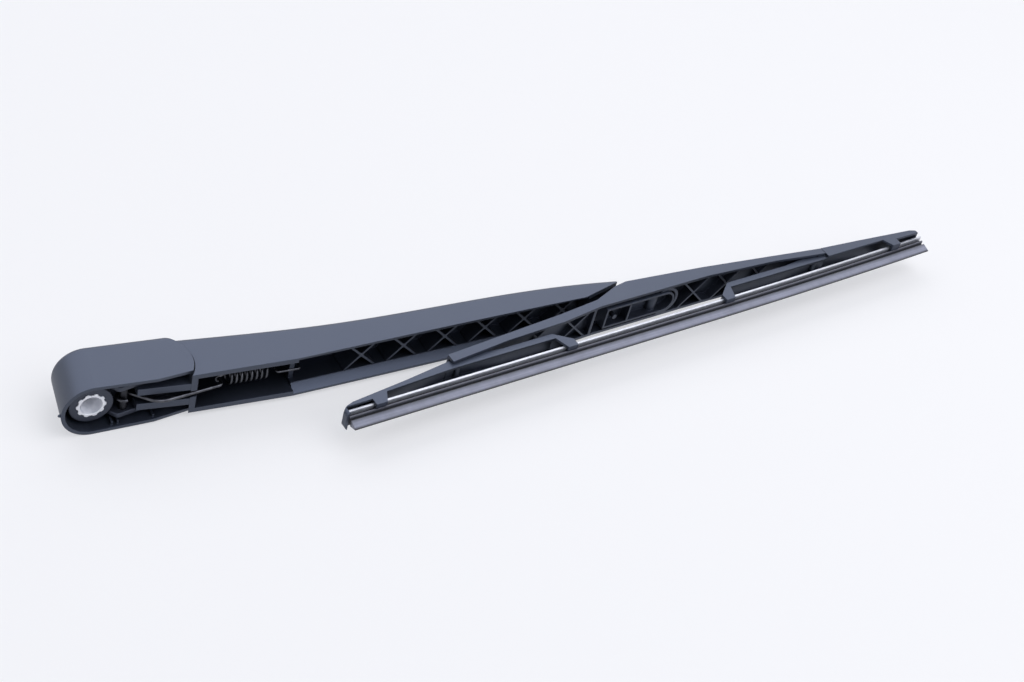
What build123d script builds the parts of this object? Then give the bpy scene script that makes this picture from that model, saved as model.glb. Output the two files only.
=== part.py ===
from build123d import *
from math import atan2, cos, degrees, hypot, radians, sin, sqrt
import os

# Rear window wiper arm with its blade, in millimetres.
# The origin is the centre of the spindle bore on the bush's glass-side face.
# +X runs along the arm to its tip, +Y points away from the glass, +Z is the upper side wall.

# Fits
running_gap = 0.05
seat_gap = 0.02
side_gap = 0.3

# Spindle bush
bush_radius = 7.0
bush_length = 13.0
bush_notches = 10
bush_notch_radius = 0.9
mouth_radius = 5.1
mouth_depth = 2.0
taper_end = 9.0
bore_radius = 4.05

# Head
boss_radius = 10.2
boss_face = 0.4
nut_seat_radius = 8.2
nut_seat_depth = 2.6
cheek_inner = 6.9
cheek_thickness = 2.7
cheek_root = 8.0
cheek_low = -1.8
cheek_high = 13.4
head_web_low = 9.6
head_web_thickness = 3.0
head_web_end = 18.5

# Hinge of the arm and the cover
hinge_x = 31.0
hinge_y = 8.0
hinge_pin_radius = 2.0
hinge_pin_end = 11.2
eye_radius = 5.2

# Pin that the tension hook pulls on
anchor_x = 15.4
anchor_y = 2.7
anchor_pin_radius = 2.0

# Cover of the head
cover_radius = 14.7
cover_end_half = 12.9
cover_rim = -3.5
cover_crown = 24.5
cover_wall = 1.7
cover_lean = 2.7
cover_edge_fillet = 3.6
cover_crown_run = 6.12
cover_kink_x = 29.0
cover_end_rim = -1.0
cover_boss_radius = 3.8
cover_rib_thickness = 1.0
cover_rib_height = 1.1
cover_rib_rise = 1.8
cover_guide_x = 28.9
cover_snap_x = 11.0
cover_snap_spacing = 2.8

# Arm channel, seen from the side
arm_cover_gap = 0.5
arm_rim = -3.4
arm_crown_drop = 1.5
shoulder_x = 60.0
shoulder_y = 21.2
waist_x = 120.0
waist_y = 17.2
swell_x = 225.0
swell_y = 19.1
tip_x = 282.8
tip_y = 16.9
tip_thickness = 2.6
step_x = 97.0
step_rim = -4.0
bend_x = 260.0
bend_rim = 6.6

# Arm channel, seen from the back
arm_start_half = 12.0
arm_middle_half = 12.2
arm_tip_half = 10.6
arm_edge_fillet = 3.4

# Inside of the arm channel
arm_wall = 2.3
bulkhead_thickness = 2.4
bay_half = 9.5
hollow_half = 8.2
tip_wall = 2.4
lip_depth = 4.8
lip_edge = 0.55
lip_ledge = 0.4
spring_wall_thickness = 2.4
spring_wall_rim = 4.4
hook_slot_half = 2.0
hook_slot_top = 8.2
rib_thickness = 1.1
rib_pitch = 23.4
rib_start = 37.0
rib_count = 6
rib_boss_radius = 1.25

# Prongs between the head's cheeks
prong_thickness = 3.9
prong_heel_x = 20.6
prong_heel_top = 4.4
prong_rim = -1.3
prong_root_top = 4.2
prong_eye_radius = 5.0

# Tension hook
hook_wire_radius = 1.0
hook_start_angle = 290.0
hook_exit_angle = 55.0
hook_dip_x = 29.9
hook_dip_y = -5.0
hook_rise_y = -0.6
hook_eye_x = 61.4
hook_eye_top = 5.6
hook_bend_radius = 7.0
hook_end_bend_radius = 1.9

# Tension spring
spring_y = 3.7
spring_wire_radius = 0.6
spring_mean_radius = 3.2
spring_pitch = 2.5
spring_turns = 8.19
spring_start_x = 64.4
spring_leg_y = 1.4
spring_leg_run = 3.0
spring_leg_tail = 6.2
spring_bend_radius = 0.8
ring_start_angle = 300.0
ring_arc = -280.0

# Blade frame: u along the blade, v away from the glass, with v = 0 on the lip's edge
blade_angle = 7.4
pivot_x = 304.0
pivot_y = 8.7
pivot_u = 6.0
pivot_v = 27.0
blade_pin_radius = 2.0
pin_skin = 0.8

# Main bridge
bridge_left_end = -128.5
bridge_right_end = 122.5
bridge_left_top = 21.8
bridge_right_top = 20.9
bridge_end_rim = 16.6
hump_foot_u = -33.0
hump_foot_v = 27.6
hump_shoulder_u = -17.0
hump_shoulder_v = 33.3
hump_u = -8.9
hump_v = 34.6
crown_mid_u = 60.0
crown_mid_v = 27.6
bridge_outer_rim = 19.6
bridge_outer_run = 35.0
bridge_inner_rim = 20.6
bridge_mid_rim = 22.6
bridge_mid_left_u = -34.0
bridge_mid_right_u = 40.0
bridge_end_half = 7.9
bridge_neck_half = 8.7
bridge_neck_u = -58.0
bridge_hump_half = 10.0
bridge_wall = 1.6
bridge_web = 1.3
window_left = -36.0
window_round_u = 12.0
window_half = 7.2
bridge_rib_thickness = 1.0
bridge_rib_rim = 22.4
bridge_rib_places = (-72.2, -48.7, 32.3, 55.8, 79.3)

# Clip between the arm's tongue and the bridge
clip_left = -29.0
clip_half = 6.6
clip_rim = 21.8
clip_top = 31.0
clip_right = 17.8
clip_end_top = 29.6
clip_wall = 1.1
clip_pocket_depth = 5.2
clip_barrel_radius = 3.3
clip_rib_u = -13.0
clip_stud_u = -22.7
clip_stud_radius = 1.4
tongue_half = 3.4
tongue_low = 28.6
tongue_high = 32.4
tongue_root_left = -35.0
tongue_root_right = -24.0
tongue_root_top = 38.8
tongue_end = -1.5

# Levers
lever_half = 6.0
lever_wall = 1.4
lever_web = 1.3
left_pivot_u = -123.5
left_pivot_v = 18.6
right_pivot_u = 117.5
right_pivot_v = 18.1
lever_pin_radius = 1.0
lever_lug_radius = 1.6
lever_neck_fall = 1.3
lever_shoulder_gap = 0.7
left_shoulder = 19.2
right_shoulder = 21.3
lever_inner_run = 25.0
lever_inner_top = 17.6
lever_inner_rim = 14.2
lever_outer_run = 33.0
lever_outer_top = 15.4
lever_outer_rim = 12.2
left_nose_v = 9.4
right_nose_v = 13.8
lever_nose_top = 11.9
lever_nose_rim = 10.2
right_lever_lift = 3.7
right_outer_half = 7.6
left_nose_u = -193.5
right_nose_u = 195.5
left_inner_claw_u = -62.0
right_inner_claw_u = 44.0
left_claw_inset = 18.8
right_claw_inset = 22.9
claw_width = 6.0
claw_foot_low = 6.1
claw_foot_thickness = 1.4
claw_opening = 3.1
nose_length = 6.0
nose_wall = 1.5
nose_corner_radius = 3.0

# Rubber and its steel strips, as half sections
lip_tip_half = 0.35
lip_root_half = 1.9
lip_height = 4.6
lip_shoulder = 0.4
neck_half = 0.6
neck_height = 1.0
bead_half = 2.7
bead_height = 0.9
bead_gap = 1.15
flexor_inner = 1.5
flexor_outer = 4.3
flexor_thickness = 1.2
flexor_seat_gap = 0.15
rubber_head_half = 2.9
rubber_head_height = 0.8
tunnel_gap = 0.3
rubber_end_gap = 0.2
bow_start_u = 20.0
bow_rise = 2.85

# Sizes that follow from those above
cover_height = cover_crown - cover_rim
cut_reach = 2 * cover_height
cover_end_radius = hypot(cover_crown - hinge_y, cover_crown_run)
arm_crown_start = cover_crown - arm_crown_drop
hollow_end_x = tip_x - tip_wall
tail_x = step_x + spring_wall_thickness + spring_wire_radius + seat_gap
cheek_outer = cheek_inner + cheek_thickness
prong_outer = cheek_inner - side_gap
prong_inner = prong_outer - prong_thickness
arm_end_radius = cover_end_radius + arm_cover_gap
bay_end_radius = arm_end_radius + bulkhead_thickness
prong_root_radius = arm_end_radius + bulkhead_thickness / 2
cover_lift = hypot(cover_lean, cover_height)
cover_end_x = hinge_x + cover_end_radius
cover_taper = (cover_radius - cover_end_half) / cover_end_x
cover_half_at_hinge = cover_radius - cover_taper * hinge_x
clip_round_u = clip_right - clip_half
pin_half = bridge_hump_half - pin_skin
lever_pin_half = bridge_end_half - pin_skin
rim_heading = atan2(bend_rim - step_rim, bend_x - step_x)
boss_height = bush_length - boss_face + nut_seat_depth
neck_low = lip_height + lip_shoulder
bead_low = neck_low + neck_height
flexor_low = bead_low + bead_height + bead_gap
flexor_high = flexor_low + flexor_thickness
rubber_top = flexor_high + flexor_seat_gap + rubber_head_height
tunnel_top = rubber_top + tunnel_gap
rubber_left = left_nose_u + nose_wall + rubber_end_gap
rubber_right = right_nose_u - rubber_end_gap
left_claw_u = left_nose_u + left_claw_inset
right_claw_u = right_nose_u - right_claw_inset
bow_run = rubber_right - bow_start_u
bow_radius = (bow_run ** 2 + bow_rise ** 2) / (2 * bow_rise)
bow_angle = degrees(2 * atan2(bow_rise, bow_run))
right_claw_rise = bow_rise * ((right_claw_u - bow_start_u) / bow_run) ** 2

blade_cos = cos(radians(blade_angle))
blade_sin = sin(radians(blade_angle))
blade = Plane(
    origin=(
        pivot_x - pivot_u * blade_cos + pivot_v * blade_sin,
        pivot_y - pivot_u * blade_sin - pivot_v * blade_cos,
        0,
    ),
    x_dir=(blade_cos, blade_sin, 0),
    z_dir=(0, 0, 1),
)


def level(height):
    """Plane facing away from the glass at this height, with X along the arm."""
    return Plane(origin=(0, height, 0), x_dir=(1, 0, 0), z_dir=(0, 1, 0))


def blade_level(v):
    """Plane facing away from the glass at this height of the blade."""
    return Plane(origin=blade.from_local_coords((0, v, 0)), x_dir=blade.x_dir, z_dir=blade.y_dir)


def blade_section(u):
    """Cross-section plane of the blade, with its second axis away from the glass."""
    return Plane(origin=blade.from_local_coords((u, 0, 0)), x_dir=(0, 0, -1), z_dir=blade.x_dir)


def rim_section(distance):
    """Cross-section plane of the arm at this distance along its slanted rim."""
    heading = (cos(rim_heading), sin(rim_heading), 0)
    origin = (step_x + distance * heading[0], step_rim + distance * heading[1], 0)
    return Plane(origin=origin, x_dir=(0, 0, -1), z_dir=heading)


def end_x(radius, height):
    """X of the arc round the hinge at this height, where the cover and the arm meet."""
    return hinge_x + sqrt(radius**2 - (height - hinge_y) ** 2)


def arm_half(x):
    """Half width of the arm at this X, on a straight taper between its start and its tip."""
    start_x = hinge_x + arm_end_radius
    share = (x - start_x) / (tip_x - start_x)
    return arm_start_half + share * (arm_tip_half - arm_start_half)


def notched_outline(clearance):
    """Outline of the bush with its notches, grown by a clearance."""
    Circle(bush_radius + clearance)
    with PolarLocations(bush_radius, bush_notches):
        Circle(bush_notch_radius - clearance, mode=Mode.SUBTRACT)


def cover_plan(inset):
    """Outline of the cover seen from the back, drawn in by a wall."""
    half = cover_radius - inset
    end_half = cover_end_half - inset
    Polyline((0, half), (cover_end_x, end_half), (cover_end_x, -end_half), (0, -half))
    ThreePointArc((0, -half), (-half, 0), (0, half))


def crown_points(drop):
    """Points of the arm's outer face, lowered by a wall."""
    return [
        (end_x(arm_end_radius, arm_crown_start), arm_crown_start - drop),
        (shoulder_x, shoulder_y - drop),
        (waist_x, waist_y - drop),
        (swell_x, swell_y - drop),
        (tip_x, tip_y - drop),
    ]


def cross_ribs(places, half_width, thickness):
    """Pairs of crossed ribs at 45 degrees, as a sketch."""
    length = 2 * sqrt(2) * half_width
    with Locations(*[(place, 0) for place in places]):
        Rectangle(length, thickness, rotation=45)
        Rectangle(length, thickness, rotation=-45)


def bridge_top(drop):
    """Outer line of the main bridge over its hump, lowered by a wall."""
    Polyline(
        (bridge_left_end, bridge_left_top - drop),
        (hump_foot_u, hump_foot_v - drop),
        (hump_shoulder_u, hump_shoulder_v - drop),
        (hump_u, hump_v - drop),
    )
    ThreePointArc(
        (hump_u, hump_v - drop),
        (crown_mid_u, crown_mid_v - drop),
        (bridge_right_end, bridge_right_top - drop),
    )


def bridge_plan(inset):
    """Corners of the main bridge seen from the back, drawn in by a wall."""
    upper = [
        (bridge_left_end, bridge_end_half - inset),
        (bridge_neck_u, bridge_neck_half - inset),
        (bridge_mid_left_u, bridge_hump_half - inset),
        (bridge_mid_right_u, bridge_hump_half - inset),
        (bridge_right_end, bridge_end_half - inset),
    ]
    return upper + [(u, -half) for u, half in reversed(upper)]


# Head with its boss and cheeks
with BuildPart() as head_body:
    with BuildSketch(level(boss_face)):
        Circle(boss_radius)
    extrude(amount=boss_height)
    for side in (1, -1):
        with BuildSketch(Plane.XY.offset(side * cheek_inner)):
            with Locations((hinge_x, hinge_y)):
                Circle(eye_radius)
            with Locations((cheek_root / 2, (cheek_low + cheek_high) / 2)):
                Rectangle(cheek_root, cheek_high - cheek_low)
            make_hull()
        extrude(amount=side * cheek_thickness)
    with BuildSketch(level(head_web_low)):
        with Locations((head_web_end / 2, 0)):
            Rectangle(head_web_end, 2 * cheek_outer)
    extrude(amount=head_web_thickness)
    with BuildSketch(level(bush_length)):
        Circle(nut_seat_radius)
    extrude(amount=nut_seat_depth, mode=Mode.SUBTRACT)
    with BuildSketch(level(0)):
        notched_outline(seat_gap)
    extrude(amount=bush_length, mode=Mode.SUBTRACT)
    with BuildSketch(Plane.XY):
        with Locations((hinge_x, hinge_y)):
            Circle(hinge_pin_radius + seat_gap)
        with Locations((anchor_x, anchor_y)):
            Circle(anchor_pin_radius + seat_gap)
    extrude(amount=cheek_outer, both=True, mode=Mode.SUBTRACT)

# Bush with its tapered bore
with BuildPart() as spline_bush:
    with BuildSketch(level(0)):
        notched_outline(0)
    extrude(amount=bush_length)
    with BuildSketch(Plane.XY):
        with BuildLine():
            Polyline(
                (0, 0),
                (mouth_radius, 0),
                (mouth_radius, mouth_depth),
                (bore_radius, taper_end),
                (bore_radius, bush_length),
                (0, bush_length),
                close=True,
            )
        make_face()
    revolve(axis=Axis.Y, mode=Mode.SUBTRACT)

# Short hinge pins, one in each cheek
hinge_pins = {}
for name, side in (("hinge_pin_upper", 1), ("hinge_pin_lower", -1)):
    with BuildPart() as hinge_pin:
        with BuildSketch(Plane.XY.offset(side * prong_inner)):
            with Locations((hinge_x, hinge_y)):
                Circle(hinge_pin_radius)
        extrude(amount=side * (hinge_pin_end - prong_inner))
    hinge_pins[name] = hinge_pin.part

# Anchor pin of the tension hook
with BuildPart() as anchor_pin:
    with BuildSketch(Plane.XY):
        with Locations((anchor_x, anchor_y)):
            Circle(anchor_pin_radius)
    extrude(amount=cheek_outer, both=True)

# Cover: rounded outline with a leaning end, cut by the arc round the hinge, then hollowed
with BuildPart() as cover_hollow:
    with BuildSketch(level(cover_rim - cover_wall)):
        with BuildLine():
            cover_plan(cover_wall)
        make_face()
    extrude(amount=cover_lift, dir=(cover_lean, cover_height, 0))
    fillet(
        cover_hollow.faces().sort_by(Axis.Y)[-1].edges().sort_by(Axis.X)[:-1],
        cover_edge_fillet - cover_wall,
    )

with BuildPart() as head_cover:
    with BuildSketch(level(cover_rim)):
        with BuildLine():
            cover_plan(0)
        make_face()
    extrude(amount=cover_lift, dir=(cover_lean, cover_height, 0))
    fillet(head_cover.faces().sort_by(Axis.Y)[-1].edges().sort_by(Axis.X)[:-1], cover_edge_fillet)
    with BuildSketch(Plane.XY):
        with BuildLine():
            Polyline(
                (end_x(cover_end_radius, cover_crown), cover_crown),
                (-cover_radius, cover_crown),
                (-cover_radius, cover_rim),
                (cover_kink_x, cover_rim),
                (end_x(cover_end_radius, cover_end_rim), cover_end_rim),
            )
            ThreePointArc(
                (end_x(cover_end_radius, cover_end_rim), cover_end_rim),
                (cover_end_x, hinge_y),
                (end_x(cover_end_radius, cover_crown), cover_crown),
            )
        make_face()
    extrude(amount=cover_radius, both=True, mode=Mode.INTERSECT)
    add(cover_hollow.part, mode=Mode.SUBTRACT)
    for side in (1, -1):
        with BuildSketch(Plane.XY.offset(side * (cheek_outer + side_gap))):
            with Locations((hinge_x, hinge_y)):
                Circle(cover_boss_radius)
        extrude(amount=side * (cover_half_at_hinge - cover_wall / 2 - cheek_outer - side_gap))
        rib_z = cover_half_at_hinge - cover_wall - cover_rib_height
        with BuildSketch(Plane.XY.offset(side * rib_z)):
            with Locations((cover_guide_x, (cover_rim + cover_rib_rise + hinge_y) / 2)):
                Rectangle(cover_rib_thickness, hinge_y - cover_rim - cover_rib_rise)
            with Locations((cover_snap_x, (cover_rim + hinge_y) / 2)):
                with GridLocations(cover_snap_spacing, 0, 2, 1):
                    Rectangle(cover_rib_thickness, hinge_y - cover_rim - 2 * cover_rib_rise)
        extrude(amount=side * (cover_rib_height + cover_wall / 2))
        with BuildSketch(Plane.XY):
            with Locations((hinge_x, hinge_y)):
                Circle(hinge_pin_radius + running_gap)
        extrude(amount=side * (hinge_pin_end + side_gap), mode=Mode.SUBTRACT)

# Space inside the arm channel, with its ribs and its spring wall left standing
with BuildPart() as arm_hollow:
    with BuildSketch(Plane.XY):
        with BuildLine():
            Spline(*crown_points(arm_wall))
            Polyline(
                crown_points(arm_wall)[-1],
                (tip_x, arm_rim - cut_reach),
                (crown_points(arm_wall)[0][0], arm_rim - cut_reach),
                crown_points(arm_wall)[0],
            )
        make_face()
    extrude(amount=bay_half, both=True)
    with BuildSketch(level(0)):
        with Locations(((hinge_x + step_x) / 2, 0)):
            Rectangle(step_x - hinge_x, 2 * bay_half)
        with Locations(((step_x + hollow_end_x) / 2, 0)):
            Rectangle(hollow_end_x - step_x, 2 * hollow_half)
    extrude(amount=2 * cut_reach, both=True, mode=Mode.INTERSECT)
    with BuildSketch(Plane.XY):
        with Locations((hinge_x, hinge_y)):
            Circle(bay_end_radius)
        with Locations((step_x + spring_wall_thickness / 2, spring_wall_rim + cut_reach / 2)):
            Rectangle(spring_wall_thickness, cut_reach)
    extrude(amount=bay_half, both=True, mode=Mode.SUBTRACT)
    rib_plane = Plane(
        origin=(step_x, step_rim, 0),
        x_dir=(cos(rim_heading), sin(rim_heading), 0),
        z_dir=(-sin(rim_heading), cos(rim_heading), 0),
    )
    rib_places = [rib_start + index * rib_pitch for index in range(rib_count)]
    with BuildSketch(rib_plane.offset(lip_depth)):
        cross_ribs(rib_places, hollow_half, rib_thickness)
        with Locations(*[(place, 0) for place in rib_places]):
            Circle(rib_boss_radius)
    extrude(amount=cut_reach, mode=Mode.SUBTRACT)

# Arm channel with its prongs and its tongue
with BuildPart() as arm_channel:
    with BuildSketch(Plane.XY):
        with BuildLine():
            Spline(*crown_points(0))
            Polyline(
                crown_points(0)[-1],
                (tip_x, tip_y - tip_thickness),
                (bend_x, bend_rim),
                (step_x, step_rim),
                (end_x(arm_end_radius, arm_rim), arm_rim),
            )
            ThreePointArc(
                (end_x(arm_end_radius, arm_rim), arm_rim),
                (hinge_x + arm_end_radius, hinge_y),
                crown_points(0)[0],
            )
        make_face()
    extrude(amount=2 * arm_middle_half, both=True)
    with BuildSketch(level(0)):
        with BuildLine():
            start_x = end_x(arm_end_radius, arm_crown_start) - side_gap
            end_limit_x = tip_x + side_gap
            middle_x = (start_x + end_limit_x) / 2
            ThreePointArc(
                (start_x, arm_start_half),
                (middle_x, arm_middle_half),
                (end_limit_x, arm_tip_half),
            )
            Line((start_x, arm_start_half), (start_x, 0))
            Line((end_limit_x, arm_tip_half), (end_limit_x, 0))
            Line((start_x, 0), (end_limit_x, 0))
        make_face()
        mirror(about=Plane.XZ)
    extrude(amount=cut_reach, both=True, mode=Mode.INTERSECT)
    crown_face = arm_channel.faces().sort_by(Axis.Y)[-1]
    fillet(crown_face.edges().sort_by(SortBy.LENGTH)[-2:], arm_edge_fillet)
    add(arm_hollow.part, mode=Mode.SUBTRACT)
    rim_length = (bend_x - step_x) / cos(rim_heading)
    for distance in (0, rim_length + arm_wall):
        edge_half = arm_half(step_x + distance) - lip_edge
        foot_half = hollow_half + lip_ledge
        with BuildSketch(rim_section(distance)):
            with BuildLine():
                Polyline(
                    (-edge_half, -arm_wall),
                    (edge_half, -arm_wall),
                    (edge_half, 0),
                    (foot_half, lip_depth),
                    (-foot_half, lip_depth),
                    (-edge_half, 0),
                    close=True,
                )
            make_face()
    loft(ruled=True, mode=Mode.SUBTRACT)
    with BuildSketch(Plane.XY):
        with Locations((hinge_x + arm_end_radius, (hook_slot_top + arm_rim) / 2 - side_gap)):
            Rectangle(2 * arm_end_radius, hook_slot_top - arm_rim + 2 * side_gap)
    extrude(amount=hook_slot_half, both=True, mode=Mode.SUBTRACT)
    for side in (1, -1):
        with BuildSketch(Plane.XY.offset(side * prong_inner)):
            with BuildLine():
                Polyline(
                    (end_x(prong_root_radius, arm_rim), arm_rim),
                    (prong_heel_x, prong_rim),
                    (prong_heel_x, prong_heel_top),
                    (hinge_x, hinge_y),
                    (end_x(prong_root_radius, prong_root_top), prong_root_top),
                    close=True,
                )
            make_face()
            with Locations((hinge_x, hinge_y)):
                Circle(prong_eye_radius)
                Circle(hinge_pin_radius + running_gap, mode=Mode.SUBTRACT)
        extrude(amount=side * prong_thickness)
    with BuildSketch(blade):
        with BuildLine():
            Polyline(
                (tongue_root_left, tongue_low),
                (tongue_end, tongue_low),
                (tongue_end, tongue_high),
                (tongue_root_right, tongue_high),
                (tongue_root_right, tongue_root_top),
                (tongue_root_left, tongue_root_top),
                close=True,
            )
        make_face()
    extrude(amount=tongue_half, both=True)

# Tension hook: bent wire from the anchor pin to the spring
with BuildPart() as tension_hook:
    with BuildLine() as hook_path:
        hook_radius = anchor_pin_radius + hook_wire_radius + running_gap
        wrap = CenterArc(
            (anchor_x, anchor_y), hook_radius, hook_start_angle, hook_exit_angle - hook_start_angle
        )
        FilletPolyline(
            wrap @ 1,
            (hook_dip_x, hook_dip_y),
            (hook_eye_x, hook_rise_y),
            (hook_eye_x, hook_eye_top),
            radius=[hook_bend_radius, hook_end_bend_radius],
        )
    with BuildSketch(Plane(origin=wrap @ 0, z_dir=wrap % 0)):
        Circle(hook_wire_radius)
    sweep()

# Tension spring: ring round the hook's end, coil, and a leg over the arm's spring wall
with BuildPart() as tension_spring:
    with BuildLine(level(spring_y)) as ring_path:
        ring_radius = hook_wire_radius + spring_wire_radius + running_gap
        ring = CenterArc((hook_eye_x, 0), ring_radius, ring_start_angle, ring_arc)
    with BuildLine() as spring_path:
        ring = add(ring_path.line).edge()
        coil = Helix(
            spring_pitch,
            spring_pitch * spring_turns,
            spring_mean_radius,
            center=(spring_start_x, spring_y, 0),
            direction=(1, 0, 0),
        )
        Spline(ring @ 1, coil @ 0, tangents=[ring % 1, coil % 0])
        leg_start = (coil @ 1) + Vector(spring_leg_run, 0, 0)
        leg = FilletPolyline(
            (leg_start.X, spring_leg_y, 0),
            (tail_x, spring_leg_y, 0),
            (tail_x, spring_leg_y + spring_leg_tail, 0),
            radius=spring_bend_radius,
        )
        Spline(coil @ 1, leg @ 0, tangents=[coil % 1, leg % 0])
    with BuildSketch(Plane(origin=ring @ 0, z_dir=ring % 0)):
        Circle(spring_wire_radius)
    sweep(path=spring_path.line)

# Space inside the main bridge, with its ribs and its two window walls left standing
with BuildPart() as bridge_hollow:
    with BuildSketch(blade):
        with BuildLine():
            bridge_top(bridge_web)
            Polyline(
                (bridge_right_end, bridge_right_top - bridge_web),
                (bridge_right_end, 0),
                (bridge_left_end, 0),
                (bridge_left_end, bridge_left_top - bridge_web),
            )
        make_face()
    extrude(amount=bridge_hump_half, both=True)
    with BuildSketch(blade_level(0)):
        with BuildLine():
            Polyline(*bridge_plan(bridge_wall), close=True)
        make_face()
    extrude(amount=cut_reach, mode=Mode.INTERSECT)
    with BuildSketch(blade_level(bridge_rib_rim)):
        cross_ribs(bridge_rib_places, bridge_hump_half, bridge_rib_thickness)
        with Locations((window_left - bridge_wall / 2, 0)):
            Rectangle(bridge_wall, 2 * bridge_hump_half)
        with Locations((window_round_u, 0)):
            Circle(window_half + bridge_wall)
    extrude(amount=cut_reach, mode=Mode.SUBTRACT)

# Main bridge with the window for the clip
with BuildPart() as main_bridge:
    with BuildSketch(blade):
        with BuildLine():
            bridge_top(0)
            Polyline(
                (bridge_right_end, bridge_right_top),
                (bridge_right_end, bridge_end_rim),
                (bridge_right_end - bridge_outer_run, bridge_inner_rim),
                (bridge_mid_right_u, bridge_mid_rim),
                (bridge_mid_left_u, bridge_mid_rim),
                (bridge_neck_u, bridge_inner_rim),
                (bridge_left_end + bridge_outer_run, bridge_outer_rim),
                (bridge_left_end, bridge_end_rim),
                (bridge_left_end, bridge_left_top),
            )
        make_face()
    extrude(amount=bridge_hump_half, both=True)
    with BuildSketch(blade_level(0)):
        with BuildLine():
            Polyline(*bridge_plan(0), close=True)
        make_face()
    extrude(amount=cut_reach, mode=Mode.INTERSECT)
    add(bridge_hollow.part, mode=Mode.SUBTRACT)
    with BuildSketch(blade_level(0)):
        with Locations(((window_left + window_round_u) / 2, 0)):
            Rectangle(window_round_u - window_left, 2 * window_half)
        with Locations((window_round_u, 0)):
            Circle(window_half)
    extrude(amount=cut_reach, mode=Mode.SUBTRACT)
    with BuildSketch(blade):
        with Locations((pivot_u, pivot_v)):
            Circle(blade_pin_radius + seat_gap)
    extrude(amount=pin_half, both=True, mode=Mode.SUBTRACT)
    with BuildSketch(blade):
        with Locations((left_pivot_u, left_pivot_v), (right_pivot_u, right_pivot_v)):
            Circle(lever_pin_radius + seat_gap)
    extrude(amount=lever_pin_half, both=True, mode=Mode.SUBTRACT)

# Clip that carries the arm's tongue and turns on the blade pin
with BuildPart() as pivot_clip:
    with BuildSketch(blade):
        with BuildLine():
            Polyline(
                (clip_left, clip_rim),
                (clip_right, clip_rim),
                (clip_right, clip_end_top),
                (pivot_u, clip_top),
                (clip_left, clip_top),
                close=True,
            )
        make_face()
    extrude(amount=clip_half, both=True)
    with BuildSketch(blade_level(0)):
        with Locations(((clip_left + clip_round_u) / 2, 0)):
            Rectangle(clip_round_u - clip_left, 2 * clip_half)
        with Locations((clip_round_u, 0)):
            Circle(clip_half)
    extrude(amount=cut_reach, mode=Mode.INTERSECT)
    with BuildSketch(blade):
        with Locations(((clip_left + tongue_end) / 2, tongue_low - running_gap + cut_reach / 2)):
            Rectangle(tongue_end - clip_left + 2 * running_gap, cut_reach)
    extrude(amount=tongue_half + running_gap, both=True, mode=Mode.SUBTRACT)
    with BuildSketch(blade_level(clip_rim)):
        with Locations(((clip_left + clip_wall + clip_round_u) / 2, 0)):
            Rectangle(clip_round_u - clip_left - clip_wall, 2 * (clip_half - clip_wall))
        with Locations((clip_round_u, 0)):
            Circle(clip_half - clip_wall)
        with Locations((clip_rib_u, 0)):
            Rectangle(clip_wall, 2 * clip_half, mode=Mode.SUBTRACT)
        with Locations((clip_stud_u, 0)):
            Circle(clip_stud_radius, mode=Mode.SUBTRACT)
    extrude(amount=clip_pocket_depth, mode=Mode.SUBTRACT)
    with BuildSketch(blade):
        with Locations((pivot_u, pivot_v)):
            Circle(clip_barrel_radius)
    extrude(amount=clip_half, both=True)
    with BuildSketch(blade):
        with Locations((pivot_u, pivot_v)):
            Circle(blade_pin_radius + running_gap)
    extrude(amount=clip_half, both=True, mode=Mode.SUBTRACT)

# Blade pin and lever pins
with BuildPart() as blade_pin:
    with BuildSketch(blade):
        with Locations((pivot_u, pivot_v)):
            Circle(blade_pin_radius)
    extrude(amount=pin_half - seat_gap, both=True)


def build_lever_pin(u, v):
    """Pin through a bridge end and a lever, at this place on the blade."""
    with BuildPart() as pin:
        with BuildSketch(blade):
            with Locations((u, v)):
                Circle(lever_pin_radius)
        extrude(amount=lever_pin_half - seat_gap, both=True)
    return pin.part


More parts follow.
